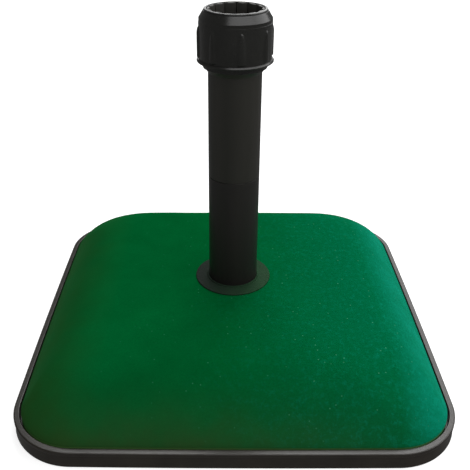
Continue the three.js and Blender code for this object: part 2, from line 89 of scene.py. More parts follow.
# Painted block.
BLOCK_HALF = 217.4
BLOCK_CORNER = SLAB_CORNER - (SLAB_HALF - BLOCK_HALF)
BLOCK_FLOOR_Z = low("concrete_block").z
CROWN_Z = high("concrete_block").z
CROWN_RISE = 2.7  # from the edge to the flange, besides the dome's own rise
DOME_EDGE_Z = 19.6
DOME_SHOULDER = 78  # the dome curves over this much of its width, then is nearly flat
DOME_POWER = 2.3
DOME_RISE = CROWN_Z - CROWN_RISE - DOME_EDGE_Z
DOME_ROWS = 54
DOME_ROW_SPREAD = 1.3  # above 1, the rows are closer together near the edge
CROWN_REACH = 2 * DOME_SHOULDER
CROWN_ROW = 5
CORNER_SHRINK = 0.42  # how the corners tighten at first on the way in, per mm
CORNER_GROWTH = 0.0112  # and how they widen again, per mm squared
UNEVENNESS = 0.22
UNEVEN_BROAD = 34  # lengths of the uneven patches
UNEVEN_FINE = 9
UNEVEN_MARGIN = 20  # the dome is true near its edge and near the flange
SOCKET_HOLE = 33.2
SOCKET_HOLE_Z = 19.7
BOLT_HOLE = 5.4

# Tube and the pieces round its foot.
TUBE_RADIUS = high("lower_tube").x
TUBE_BORE = 25.95
FLANGE_RADIUS = high("foot_flange").x
BOSS_RADIUS = 29.9
BOSS_HEIGHT = 1.6
FLARE_BOTTOM_Z = 319.9
FLARE_TOP_Z = 325.1
FLARE_RADIUS = 31.6
NECK_CORE = 29.1
NECK_CREST = 31.2
NECK_PILOT = 28.3
NECK_PILOT_Z = 347.6
NECK_THREAD_Z = 329.5
NECK_THREAD_TURNS = 3.9
THREAD_PITCH = 4
THREAD_FOOT = 2.1  # width of the ridge at its foot and on its crest
THREAD_CREST = 1
THREAD_LEAD_IN = 0.12  # turns over which an end of the ridge sinks away
THREAD_ROW = 0.25

# Clamp nut.
NUT_BOTTOM_Z = low("clamp_nut").z
NUT_TOP_Z = high("clamp_nut").z
NUT_FOOT = 33
NUT_RADIUS = 37.1
NUT_BORE = 31.9
NUT_CREST = 29.8
NUT_THREAD_TURNS = 2.4
BEAD_RADIUS = 39.1
BEAD_BOTTOM_Z = 330.9
BEAD_EDGE_Z = 332.2
BEAD_LEDGE_RADIUS = 38.1
BEAD_TOP_Z = 333.7
SHOULDER_Z = 373.7
SHOULDER_STEP_Z = 370.3
SHOULDER_STEP = 0.3
MOUTH_OUTER = 31.1  # where the shoulder's slope would meet the top
MOUTH_INNER = 29
RIM_RADIUS = 31.9
RIM_Z = 381.5
NUT_CONE_Z = 354.6
NUT_CONE_RADIUS = 31.3
NUT_GROOVE_Z = 351.4
NUT_GROOVE_RADIUS = 33
NUT_LIP_Z = 349.4
NUT_LIP_RADIUS = 29.7
RIB_COUNT = 8
RIB_HALF_WIDTH = 4
RIB_HEIGHT = 1.9
RIB_BOTTOM_Z = 335.1
RIB_TOP_Z = 366.3
RIB_TAPER = 0.45  # share of its width that a rib loses towards its top
RIB_TAPER_LENGTH = 16
RIB_TOP_ROUND = 7
RIB_BOTTOM_ROUND = 1.3
RIB_FULLNESS = 0.6  # below 1, the ribs are flatter on top and steeper at the sides
RIB_START = math.radians(-81.7)
BAND_ROW = 0.5

# Collet.
COLLET_BORE = 25.3
COLLET_BOTTOM_Z = low("collet").z
COLLET_TOP_Z = high("collet").z
COLLET_FLANGE = 32.5
COLLET_FLANGE_TOP_Z = COLLET_BOTTOM_Z + 2.4
COLLET_FINGERS = 14
COLLET_FINGER_COLUMNS = 24
COLLET_GRIP = 1.3  # a finger's crowned face lies this much further out beside a slot
COLLET_GRIP_HEIGHT = 12
COLLET_SLOT = 0.8
COLLET_SLOT_Z = 360
COLLET_SLOT_START = math.radians(-92.2)
COLLET_CLEARANCE = 0.6

# ---- meshes ----
# An outline is a closed loop of points (r, z), or (x, z) for a section of the slab or tray.


def rounded(corners):
    """Points of an outline. A corner is (r, z) or, to round it, (r, z, radius)."""
    points = []
    for i, corner in enumerate(corners):
        here = Vector(corner[:2])
        if len(corner) == 2:
            points.append(here)
            continue
        back = Vector(corners[i - 1][:2]) - here
        ahead = Vector(corners[(i + 1) % len(corners)][:2]) - here
        half_angle = back.angle(ahead) / 2
        sweep = math.pi - 2 * half_angle
        cut = corner[2] / math.tan(half_angle)
        centre = here + (back.normalized() + ahead.normalized()).normalized() * (
            corner[2] / math.sin(half_angle)
        )
        start = here + back.normalized() * cut
        end = here + ahead.normalized() * cut
        # A point just past the arc on each side keeps the straight stretch flat in its shading.
        if back.length > 4 * cut:
            points.append(start + back.normalized() * cut * 0.4)
        for k in range(ARC_STEPS + 1):
            to_start = math.sin(sweep * (1 - k / ARC_STEPS)) / math.sin(sweep)
            to_end = math.sin(sweep * k / ARC_STEPS) / math.sin(sweep)
            points.append(centre + (start - centre) * to_start + (end - centre) * to_end)
        if ahead.length > 4 * cut:
            points.append(end + ahead.normalized() * cut * 0.4)
    return [(p.x, p.y) for p in points]


def rows(bottom, top, step):
    """Heights from bottom to top, a step or a little less apart."""
    count = math.ceil(abs(top - bottom) / step)
    return [bottom + (top - bottom) * i / count for i in range(count + 1)]


def skin(name, rings, looped=True):
    """A closed mesh through rings of points. A ring of one point closes it on the axis."""
    vertices = []
    starts = []
    for ring in rings:
        starts.append(len(vertices))
        vertices.extend(Vector(p) * MM for p in ring)
    faces = []
    for j in range(len(rings) if looped else len(rings) - 1):
        k = (j + 1) % len(rings)
        here, there = rings[j], rings[k]
        columns = max(len(here), len(there))
        for i in range(columns):
            n = (i + 1) % columns
            a, b = starts[j] + i % len(here), starts[j] + n % len(here)
            c, d = starts[k] + n % len(there), starts[k] + i % len(there)
            faces.append([v for q, v in enumerate((a, b, c, d)) if v not in (a, b, c, d)[:q]])
    mesh = bpy.data.meshes.new(name)
    mesh.from_pydata(vertices, [], faces)
    solid = bmesh.new()
    solid.from_mesh(mesh)
    bmesh.ops.recalc_face_normals(solid, faces=solid.faces)
    solid.to_mesh(mesh)
    solid.free()
    mesh.shade_smooth()
    piece = bpy.data.objects.new(name, mesh)
    bpy.context.scene.collection.objects.link(piece)
    return piece


def turned(name, outline, shape=None, columns=ROUND_COLUMNS):
    """A turned solid. shape(angle, r, z), if given, is the radius in one direction.

    An outline that starts on the axis is open there, and its two ends close the solid."""
    rings = []
    for r, z in outline:
        if r == 0:
            rings.append([(0, 0, z)])
            continue
        ring = []
        for i in range(columns):
            angle = 2 * math.pi * i / columns
            reach = shape(angle, r, z) if shape else r
            ring.append((reach * math.cos(angle), reach * math.sin(angle), z))
        rings.append(ring)
    return skin(name, rings, looped=outline[0][0] != 0)


def smoothstep(value):
    t = min(1, max(0, value))
    return t * t * (3 - 2 * t)


def finished(piece, body, slot, look, *nodes):
    """Gives a piece its material and says what it rides on and stands for."""
    piece.data.materials.clear()
    piece.data.materials.append(look)
    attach(piece, body)
    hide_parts(*nodes)


# ---- the slab's plan ----


def rounded_square_reach(half, corner, angle):
    """From the axis to a rounded square's edge, in one direction."""
    c, s = abs(math.cos(angle)), abs(math.sin(angle))
    flat = half - corner
    side = half / max(c, s)
    if side * min(c, s) <= flat:
        return side
    return flat * (c + s) + math.sqrt(max(0, corner**2 - flat**2 * (c - s) ** 2))


def slab_directions():
    """Directions from the axis, close together round the corners."""
    flat = SLAB_HALF - SLAB_CORNER
    directions = []
    for quarter in range(4):
        turn = quarter * math.pi / 2
        for i in range(SIDE_COLUMNS):
            along = -flat + 2 * flat * i / SIDE_COLUMNS
            directions.append(turn + math.atan2(along, SLAB_HALF))
        for i in range(CORNER_COLUMNS):
            sweep = math.pi / 2 * i / CORNER_COLUMNS
            x = flat + SLAB_CORNER * math.cos(sweep)
            y = flat + SLAB_CORNER * math.sin(sweep)
            directions.append(turn + math.atan2(y, x))
    return directions


DIRECTIONS = slab_directions()


def slab_ring(half, corner, bulge, z):
    """A ring of points round a rounded square with slightly bulging sides."""
    base = half - bulge
    points = []
    for angle in DIRECTIONS:
        reach = rounded_square_reach(base, min(corner, base), angle)
        x, y = reach * math.cos(angle), reach * math.sin(angle)
        bulge_x = 1 + bulge / base * (1 - (y / base) ** 2)
        bulge_y = 1 + bulge / base * (1 - (x / base) ** 2)
        points.append(Vector((x * bulge_x, y * bulge_y, z)))
    return points


def round_ring(radius, z):
    return [Vector((radius * math.cos(a), radius * math.sin(a), z)) for a in DIRECTIONS]


# ---- slab and tray ----


def dome_ring(distance):
    """A ring of the dome, a distance in from the painted edge."""
    left = max(0, 1 - distance / DOME_SHOULDER)
    corner = BLOCK_CORNER - CORNER_SHRINK * distance + CORNER_GROWTH * distance**2
    to_crown = max(0, 1 - distance / CROWN_REACH)
    crown = CROWN_RISE * (1 - to_crown**2)
    z = DOME_EDGE_Z + DOME_RISE * (1 - left**DOME_POWER) + crown
    ring = slab_ring(BLOCK_HALF - distance, corner, SIDE_BULGE * left, z)
    for p in ring:
        # Cast concrete is never quite even. The edge and the flange's seat stay true.
        clear = smoothstep(distance / UNEVEN_MARGIN)
        clear *= smoothstep((p.xy.length - FLANGE_RADIUS) / UNEVEN_MARGIN)
        broad = noise.noise(p / UNEVEN_BROAD)
        fine = noise.noise(p / UNEVEN_FINE + Vector((5, 3, 8)))
        p.z += UNEVENNESS * clear * (broad + 0.25 * fine)
    return ring


def painted_block():
    """The domed block, with a hole for the tube and its bolt."""
    edge = rounded([
        (BLOCK_HALF - 1.6, BLOCK_FLOOR_Z, 1),
        (BLOCK_HALF, BLOCK_FLOOR_Z + 3, 3),
        (BLOCK_HALF, DOME_EDGE_Z),
        (BOLT_HOLE, DOME_EDGE_Z),
        (BOLT_HOLE, BLOCK_FLOOR_Z),
    ])
    rings = [slab_ring(x, BLOCK_CORNER, SIDE_BULGE, z) for x, z in edge if x > SOCKET_HOLE][:-1]
    for i in range(DOME_ROWS):
        rings.append(dome_ring(DOME_SHOULDER * (i / DOME_ROWS) ** DOME_ROW_SPREAD))
    for distance in rows(DOME_SHOULDER, BLOCK_HALF - SOCKET_HOLE, CROWN_ROW):
        rings.append(dome_ring(distance))
    rings.append(round_ring(SOCKET_HOLE, SOCKET_HOLE_Z))
    rings.append(round_ring(BOLT_HOLE, SOCKET_HOLE_Z))
    rings.append(round_ring(BOLT_HOLE, BLOCK_FLOOR_Z))
    return skin("painted_block", rings)


def widen_front_lip(ring):
    """Moves the front side of a ring at the lip's inner edge further in."""
    for p in ring:
        share = (-p.y / SLAB_HALF - FRONT_LIP_FROM) / FRONT_LIP_OVER
        p.y += FRONT_LIP_EXTRA * smoothstep(share)


def tray_moulding():
    """The edge tray, with its lip on top and its floor under the block."""
    outline = rounded([
        (SLAB_HALF, TRAY_FOOT_Z, 1),
        (SLAB_HALF - WALL_LEAN, LIP_UNDERSIDE_Z, 0.5),
        (SLAB_HALF, LIP_UNDERSIDE_Z + LIP_STEP, 0.4),
        (SLAB_HALF, LIP_TOP_Z, 1.1),
        (SLAB_HALF - LIP_WIDTH, LIP_TOP_Z, 0.8),
        (SLAB_HALF - LIP_WIDTH - 0.3, TRAY_FLOOR_TOP_Z, 0.3),
        (BOLT_HOLE, TRAY_FLOOR_TOP_Z, 0.3),
        (BOLT_HOLE, TRAY_FLOOR_Z, 0.3),
        (SLAB_HALF - WALL_THICKNESS - WALL_LEAN, TRAY_FLOOR_Z, 1.2),
        (SLAB_HALF - WALL_THICKNESS, TRAY_FOOT_Z, 0.8),
    ])
    rings = []
    for x, z in outline:
        if x > SOCKET_HOLE:
            ring = slab_ring(x, SLAB_CORNER - (SLAB_HALF - x), SIDE_BULGE, z)
            if z > TRAY_FLOOR_Z + 0.1 and x < SLAB_HALF - LIP_WIDTH + 1:
                widen_front_lip(ring)
            rings.append(ring)
        else:
            rings.append(round_ring(x, z))
    return skin("tray_moulding", rings)


def ground_pad(node):
    """A rubber foot with two shallow grip grooves in its sole."""
    bottom, top = low(node).z, high(node).z
    radius = (high(node).x - low(node).x) / 2
    middle = (low(node) + high(node)) / 2
    grooves, mouth, floor, depth = (5, 9), 0.9, 0.5, 0.7
    outline = [(0, bottom)]
    for groove in grooves:
        outline += [(groove - mouth, bottom), (groove - floor, bottom + depth)]
        outline += [(groove + floor, bottom + depth), (groove + mouth, bottom)]
    outline += rounded([
        (radius, bottom, 0.8),
        (radius - 0.5, top, 0.8),
        (0, top),
        (0, bottom),
    ])[:-2]
    outline.append((0, top))
    pad = turned(node.replace("pad", "rubber_pad"), outline, columns=72)
    pad.data.transform(Matrix.Translation((middle.x * MM, middle.y * MM, 0)))
    return pad


# ---- foot of the tube ----


def socket_cup():
    bottom, top = low("cast_socket").z, high("cast_socket").z
    outer = high("cast_socket").x
    inner = TUBE_RADIUS + CLEARANCE
    floor_top = bottom + 3
    return turned("socket_cup", rounded([
        (BOLT_HOLE, bottom),
        (outer, bottom, 1.5),
        (outer, top, 0.4),
        (inner, top, 0.4),
        (inner, floor_top, 0.5),
        (BOLT_HOLE, floor_top),
    ]))


def flange_ring():
    bottom, top = low("foot_flange").z, high("foot_flange").z
    inner = TUBE_RADIUS + CLEARANCE
    return turned("flange_ring", rounded([
        (inner, bottom),
        (FLANGE_RADIUS, bottom, 0.2),
        (FLANGE_RADIUS, top - BOSS_HEIGHT, 0.8),
        (BOSS_RADIUS, top - BOSS_HEIGHT, 0.6),
        (BOSS_RADIUS, top, 0.5),
        (inner, top, 0.4),
    ]))


def bore_plug():
    bottom, top = low("tube_plug").z, high("tube_plug").z
    hole_top = high("base_bolt").z + CLEARANCE
    foot_top = bottom + 2.7
    body = TUBE_BORE - CLEARANCE
    return turned("bore_plug", rounded([
        (0, hole_top),
        (BOLT_HOLE, hole_top, 0.4),
        (BOLT_HOLE, bottom, 0.4),
        (TUBE_RADIUS, bottom, 0.5),
        (TUBE_RADIUS, foot_top, 0.4),
        (body, foot_top, 0.3),
        (body, top, 1),
        (0, top),
    ]))


def spread_washer():
    inner, outer = BOLT_HOLE, high("base_washer").x
    bottom, top = low("base_washer").z, high("base_washer").z
    return turned("spread_washer", rounded([
        (inner, bottom, 0.25),
        (outer, bottom, 0.5),
        (outer, top, 0.25),
        (inner, top, 0.25),
    ]), columns=SMALL_COLUMNS)


def hex_bolt():
    """A hexagon bolt. Its head is a hexagon cut by a shallow cone, which rounds the corners off."""
    bottom, tip = low("base_bolt").z, high("base_bolt").z
    head_top = bottom + 4
    half_flats = 8
    to_corner = 9.25
    shank = 4.8

    def hexagon(angle, r, z):
        if z > head_top:
            return r
        off_flat = (angle + math.pi / 6) % (math.pi / 3) - math.pi / 6
        return min(r, half_flats / math.cos(off_flat))

    outline = [
        (0, bottom),
        (half_flats - 0.6, bottom),
        (half_flats - 0.2, bottom + 0.15),
        (to_corner, bottom + 0.9),
        (to_corner, head_top - 0.2),
        (to_corner - 0.35, head_top),
        (shank + 0.5, head_top),
        (shank, head_top + 0.5),
        (shank, tip - 1),
        (shank - 1, tip),
        (0, tip),
    ]
    return turned("hex_bolt", outline, hexagon, SMALL_COLUMNS)


# ---- tube ----


def helix_height(angle, z, start, turns):
    """How far up a right-hand helical ridge a point is: 0 in the groove and 1 on the crest."""
    turn = angle / (2 * math.pi)
    along = (z - start) / THREAD_PITCH - turn
    winding = round(along)
    off_middle = abs(along - winding) * THREAD_PITCH
    flank = (THREAD_FOOT / 2 - off_middle) / ((THREAD_FOOT - THREAD_CREST) / 2)
    ends = min(winding + turn, turns - winding - turn) / THREAD_LEAD_IN
    return smoothstep(flank) * smoothstep(ends)


def tube_section(name, node):
    bottom, top = low(node).z, high(node).z
    return turned(name, rounded([
        (TUBE_BORE, bottom, 0.4),
        (TUBE_RADIUS, bottom, 0.5),
        (TUBE_RADIUS, top, 0.5),
        (TUBE_BORE, top, 0.4),
    ]))


def inner_sleeve():
    bottom, top = low("tube_coupler").z, high("tube_coupler").z
    outer = high("tube_coupler").x
    wall = 1.4
    inner = outer - wall
    return turned("inner_sleeve", rounded([
        (inner, bottom, 0.5),
        (outer, bottom, 0.5),
        (outer, top, 0.5),
        (inner, top, 0.5),
    ]))


def necked_tube():
    """The upper tube, with a flare that the nut's foot meets and a threaded neck above it."""
    bottom, top = low("upper_tube").z, high("upper_tube").z
    neck_bottom = FLARE_TOP_Z + 2

    def threaded(angle, r, z):
        if r != NECK_CORE:
            return r
        return r + (NECK_CREST - r) * helix_height(angle, z, NECK_THREAD_Z, NECK_THREAD_TURNS)

    lower = rounded([
        (TUBE_BORE, bottom, 0.4),
        (TUBE_RADIUS, bottom, 0.5),
        (TUBE_RADIUS, FLARE_BOTTOM_Z, 2),
        (FLARE_RADIUS, FLARE_TOP_Z, 1),
        (FLARE_RADIUS, FLARE_TOP_Z + 1.5, 0.4),
        (NECK_CORE, neck_bottom),
        (NECK_CORE, top),
        (TUBE_BORE, top),
    ])[:-3]
    upper = rounded([
        (NECK_CORE, NECK_PILOT_Z),
        (NECK_PILOT, NECK_PILOT_Z + 0.8, 0.4),
        (NECK_PILOT, top, 0.5),
        (TUBE_BORE, top, 0.5),
    ])[1:]
    thread = [(NECK_CORE, z) for z in rows(neck_bottom, NECK_PILOT_Z, THREAD_ROW)]
    return turned("necked_tube", lower + thread + upper, threaded, FINE_COLUMNS)


# ---- clamp ----


def rib_height(angle, z):
    """Height of the nut's ribs: long soft pads with rounded ends."""
    spacing = 2 * math.pi / RIB_COUNT
    off_rib = (angle - RIB_START + spacing / 2) % spacing - spacing / 2
    narrowing = 1 - RIB_TAPER * smoothstep((z - RIB_TOP_Z + RIB_TAPER_LENGTH) / RIB_TAPER_LENGTH)
    across = abs(off_rib) * NUT_RADIUS / (RIB_HALF_WIDTH * narrowing)
    past_top = max(0, z - (RIB_TOP_Z - RIB_TOP_ROUND)) / RIB_TOP_ROUND
    past_bottom = max(0, RIB_BOTTOM_Z + RIB_BOTTOM_ROUND - z) / RIB_BOTTOM_ROUND
    inside = 1 - across**2 - past_top**2 - past_bottom**2
    return RIB_HEIGHT * max(0, inside) ** RIB_FULLNESS


def nut_body():
    """The clamp nut: a ribbed band over a beaded foot, with a thread and a cone inside."""
    ridge_start = NECK_THREAD_Z + 1.5 * THREAD_PITCH  # half a pitch off the neck's ridge
    ridge_height = NUT_BORE - NUT_CREST

    def ribbed(angle, r, z):
        if r == NUT_RADIUS:
            return r + rib_height(angle, z)
        if r == NUT_BORE:
            return r - ridge_height * helix_height(angle, z, ridge_start, NUT_THREAD_TURNS)
        return r

    shoulder_slope = (NUT_RADIUS - MOUTH_OUTER) / (NUT_TOP_Z - SHOULDER_Z)
    rim_root = NUT_RADIUS - shoulder_slope * (RIM_Z - 0.3 - SHOULDER_Z)
    outside = rounded([
        (NUT_BORE, NUT_BOTTOM_Z),
        (NUT_FOOT, NUT_BOTTOM_Z, 0.4),
        (NUT_FOOT, BEAD_BOTTOM_Z, 0.5),
        (BEAD_RADIUS, BEAD_BOTTOM_Z, 0.8),
        (BEAD_RADIUS, BEAD_EDGE_Z, 0.3),
        (BEAD_LEDGE_RADIUS, BEAD_TOP_Z, 0.3),
        (NUT_RADIUS, BEAD_TOP_Z, 0.2),
        (NUT_RADIUS, SHOULDER_Z),
        (NUT_BORE, SHOULDER_Z),
    ])[:-2]
    band = [(NUT_RADIUS, z) for z in rows(BEAD_TOP_Z + 0.8, SHOULDER_STEP_Z - 0.4, BAND_ROW)]
    shoulder = rounded([
        (NUT_RADIUS, SHOULDER_STEP_Z - 0.3),
        (NUT_RADIUS, SHOULDER_STEP_Z, 0.15),
        (NUT_RADIUS - SHOULDER_STEP, SHOULDER_STEP_Z + 0.1, 0.1),
        (NUT_RADIUS - SHOULDER_STEP, SHOULDER_Z, 0.6),
        (rim_root, RIM_Z - 0.3, 0.3),
        (RIM_RADIUS - 0.5, RIM_Z - 0.2, 0.1),
        (RIM_RADIUS, RIM_Z + 0.1, 0.15),
        (RIM_RADIUS, NUT_TOP_Z, 1.25),
        (MOUTH_INNER, NUT_TOP_Z, 0.6),
        (NUT_CONE_RADIUS, NUT_CONE_Z, 0.3),
        (NUT_GROOVE_RADIUS, NUT_CONE_Z, 0.3),
        (NUT_GROOVE_RADIUS, NUT_GROOVE_Z, 0.3),
        (NUT_LIP_RADIUS, NUT_GROOVE_Z, 0.4),
        (NUT_LIP_RADIUS, NUT_LIP_Z, 0.4),
        (NUT_BORE, NUT_LIP_Z, 0.3),
        (NUT_BORE, NUT_BOTTOM_Z),
    ])[:-1]
    bore = [(NUT_BORE, z) for z in rows(NUT_LIP_Z - 1, NUT_BOTTOM_Z + 0.3, THREAD_ROW)]
    outline = outside + band + shoulder + bore
    return turned("nut_body", outline[1:], ribbed, FINE_COLUMNS)


def split_collet():
    """The collet's ring, with slots that part it into springy fingers with crowned grips."""
    cone_slope = (NUT_CONE_RADIUS - MOUTH_INNER) / (NUT_TOP_Z - NUT_CONE_Z)
    cone = NUT_CONE_RADIUS - COLLET_CLEARANCE

    def crowned(angle, r, z):
        if r > COLLET_BORE + 1 or z < COLLET_FLANGE_TOP_Z:
            return r
        along = (angle - COLLET_SLOT_START) * COLLET_FINGERS / 2
        upwards = smoothstep((z - COLLET_FLANGE_TOP_Z) / COLLET_GRIP_HEIGHT)
        return r + COLLET_GRIP * abs(math.cos(along)) ** 3 * upwards

    ring = turned("split_collet", rounded([
        (COLLET_BORE + 0.6, COLLET_BOTTOM_Z, 0.3),
        (COLLET_FLANGE, COLLET_BOTTOM_Z, 0.4),
        (COLLET_FLANGE, COLLET_FLANGE_TOP_Z, 0.4),
        (cone, COLLET_FLANGE_TOP_Z, 0.4),
        (cone - cone_slope * (COLLET_TOP_Z - NUT_CONE_Z), COLLET_TOP_Z, 0.5),
        (COLLET_BORE + 0.4, COLLET_TOP_Z, 0.7),
        (COLLET_BORE, COLLET_TOP_Z - 1.6),
        (COLLET_BORE, COLLET_BOTTOM_Z + 1.6),
    ]), crowned, COLLET_FINGERS * COLLET_FINGER_COLUMNS)
    # One box for each slot. They reach past the ring and its top, and stay apart in the middle.
    cut_middle, cut_length = 31, 22
    cut_height = COLLET_TOP_Z - COLLET_SLOT_Z + 4
    cutters = bmesh.new()
    for i in range(COLLET_FINGERS):
        around = COLLET_SLOT_START + 2 * math.pi * i / COLLET_FINGERS
        turn = Matrix.Rotation(around, 4, "Z")
        place = Matrix.Translation((cut_middle * MM, 0, (COLLET_SLOT_Z + cut_height / 2) * MM))
        size = Matrix.Diagonal((cut_length * MM, COLLET_SLOT * MM, cut_height * MM, 1))
        bmesh.ops.create_cube(cutters, size=1, matrix=turn @ place @ size)
    slots = bpy.data.objects.new("slot_cutters", bpy.data.meshes.new("slot_cutters"))
    cutters.to_mesh(slots.data)
    cutters.free()
    bpy.context.scene.collection.objects.link(slots)
    cut = ring.modifiers.new("slots", "BOOLEAN")
    cut.object = slots
    cut.operation = "DIFFERENCE"
    cut.solver = "MANIFOLD"
    graph = bpy.context.evaluated_depsgraph_get()
    mesh = bpy.data.meshes.new_from_object(ring.evaluated_get(graph))
    ring.modifiers.clear()
    ring.data = mesh
    bpy.data.objects.remove(slots)
    ring.data.shade_smooth()
    ring.data.set_sharp_from_angle(angle=math.radians(35))
    return ring


# ---- materials ----

MIX_A, MIX_B, MIX_OUT = 6, 7, 2  # the colour sockets of a Mix node


class Look:
    """A procedural material on one Principled shader, with patterns in the piece's own space."""

    def __init__(self, name, **fixed):
        self.material = bpy.data.materials.new(name)
        self.material.use_nodes = True
        self.tree = self.material.node_tree
        self.shader = self.tree.nodes["Principled BSDF"]
        self.place = self.node("ShaderNodeTexCoord").outputs["Object"]
        for socket, value in fixed.items():
            self.shader.inputs[socket.replace("_", " ")].default_value = value

    def node(self, kind, **inputs):
        node = self.tree.nodes.new(kind)
        for socket, value in inputs.items():
            self.feed(node.inputs[socket.replace("_", " ")], value)
        return node

    def feed(self, socket, value):
        if isinstance(value, bpy.types.NodeSocket):
            self.tree.links.new(value, socket)
        else:
            socket.default_value = value

    def stretched(self, stretch):
        """The piece's own coordinates, scaled along each axis."""
        return self.node("ShaderNodeMapping", Vector=self.place, Scale=stretch).outputs[0]

    def noise(self, size, detail=3.0, roughness=0.5, stretch=(1, 1, 1)):
        """Soft noise from 0 to 1, with features of about this size in millimetres."""
        return self.node(
            "ShaderNodeTexNoise",
            Vector=self.stretched(stretch),
            Scale=1 / (size * MM),
            Detail=detail,
            Roughness=roughness,
        ).outputs[0]

    def dots(self, spacing, radius, share):
        """Round specks: 1 inside, 0 outside. A share of the cells has one."""
        cells = self.node("ShaderNodeTexVoronoi", Vector=self.place, Scale=1 / (spacing * MM))
        near = self.levels(cells.outputs["Distance"], radius / spacing, 0.3 * radius / spacing)
        pick = self.node("ShaderNodeSeparateColor", Color=cells.outputs["Color"]).outputs[0]
        chosen = self.levels(pick, 1 - share, 1 - 0.7 * share)
        return self.times(near, chosen)

    def levels(self, value, start, end, low=0.0, high=1.0):
        """From low, where the value is start, to high, where it is end, and no further."""
        return self.node(
            "ShaderNodeMapRange",
            Value=value,
            From_Min=start,
            From_Max=end,
            To_Min=low,
            To_Max=high,
        ).outputs[0]

    def times(self, a, b):
        product = self.node("ShaderNodeMath")
        product.operation = "MULTIPLY"
        self.feed(product.inputs[0], a)
        self.feed(product.inputs[1], b)
        return product.outputs[0]

    def axis(self, index):
        """One of the piece's own coordinates, in millimetres."""
        split = self.node("ShaderNodeSeparateXYZ", Vector=self.place)
        return self.times(split.outputs[index], 1 / MM)

    def mixed(self, share, first, second):
        """A colour between two others, each a colour or a socket."""
        mix = self.tree.nodes.new("ShaderNodeMix")
        mix.data_type = "RGBA"
        self.feed(mix.inputs[0], share)
        self.feed(mix.inputs[MIX_A], first)
        self.feed(mix.inputs[MIX_B], second)
        return mix.outputs[MIX_OUT]

    def bump(self, height, depth, over=None):
        """Fine relief of a depth in millimetres, over another relief if there is one."""
        bump = self.node("ShaderNodeBump", Height=height, Distance=depth * MM, Strength=1.0)
        if over:
            self.feed(bump.inputs["Normal"], over)
        return bump.outputs[0]

    def wear(self, colour, roughness, normal):
        """The finished material."""
        self.feed(self.shader.inputs["Base Color"], colour)
        self.feed(self.shader.inputs["Roughness"], roughness)
        self.feed(self.shader.inputs["Normal"], normal)
        return self.material


def rgb(red, green, blue):
    """A colour given as on a screen, from 0 to 255, for a shader."""
    shares = [c / 255 for c in (red, green, blue)]
    linear = [c / 12.92 if c < 0.0404 else ((c + 0.055) / 1.055) ** 2.4 for c in shares]
    return (*linear, 1)


def green_paint():
    """Masonry paint on cast concrete: a cloudy green with fine grit and sparse pale specks. Painted
    highlights lie on the right, painted shade on the left and at the foot, and painted light in the
    gap behind the tray's lip.
    """
    look = Look(
        "green_paint",
        Specular_IOR_Level=0.0,
        Sheen_Weight=0.05,
        Sheen_Roughness=0.3,
        Sheen_Tint=(0.15, 1.0, 0.45, 1),
    )
    across, along, up = (look.axis(i) for i in range(3))
    clouds = look.noise(46, detail=5, roughness=0.6)
    body = look.mixed(look.levels(clouds, 0.3, 0.7), rgb(0, 79, 35), rgb(1, 86, 40))
    # Painted highlight: the right-hand side, which faces the lamps, is painted lighter and more
    # blue-green, though less so low down in front.
    painted_highlight_right = look.times(look.levels(across, -10, 200), look.levels(along, -205, -110, 0.4, 0.8))
    body = look.mixed(painted_highlight_right, body, rgb(1, 98, 66))
    # Painted highlight: a patchy, pale blue-green band along the right-hand edge, where the dome
    # slopes towards the lamps.
    painted_edge_highlight = look.times(
        look.levels(across, 160, 214),
        look.levels(look.noise(40, detail=6, roughness=0.7), 0.3, 0.62, 0.35, 1),
    )
    body = look.mixed(painted_edge_highlight, body, rgb(12, 130, 106))
    grit = look.noise(1.6, detail=2)
    body = look.mixed(look.levels(grit, 0.35, 0.75, 0, 0.35), body, rgb(0, 62, 30))
    # Pale blue-green patches on the shoulder, thickest on the right: partly dust, partly painted
    # highlight on the side that faces the lamps.
    dust_and_highlight = look.levels(across, -60, 210)
    patches = look.levels(look.noise(6, detail=7, roughness=0.85), 0.5, 0.75)
    body = look.mixed(look.times(look.times(patches, dust_and_highlight), 0.6), body, rgb(14, 136, 112))
    # Painted shade: darker and browner towards the foot of the dome, where it turns away from the
    # lamps, with some soil at the rim, and darker along the whole left-hand edge, away from the
    # lamps.
    uneven = look.levels(look.noise(30, detail=4), 0.3, 0.65, 0.6, 1)
    low_down = look.levels(up, 74, 16)
    foot = look.times(look.times(low_down, low_down), look.levels(across, 190, -60, 0, 1))
    body = look.mixed(look.times(foot, uneven), body, rgb(42, 63, 31))
    # Painted shade along the left-hand edge.
    painted_shade_left = look.levels(across, -130, -218, 0, 0.65)
    body = look.mixed(look.times(painted_shade_left, uneven), body, rgb(30, 66, 22))
    # Painted light: the paint is lighter in the gap behind the tray's lip, where the lip's shade
    # falls.
    body = look.mixed(look.levels(up, 19.8, 18.8, 0, 0.8), body, rgb(66, 100, 52))
    # Pale specks, few of them on the left and at the foot.
    specks = look.times(look.dots(6.5, 0.9, 0.4), look.levels(up, 28, 66, 0.3, 1))
    faint = look.times(specks, look.levels(across, -150, 60, 0.06, 0.46))
    body = look.mixed(faint, body, rgb(84, 168, 134))
    roughness = look.levels(look.noise(12), 0.3, 0.7, 0.5, 0.66)
    relief = look.bump(look.noise(0.9, detail=3), 0.05)
    relief = look.bump(look.noise(5, detail=3), 0.12, relief)
    return look.wear(body, roughness, relief)


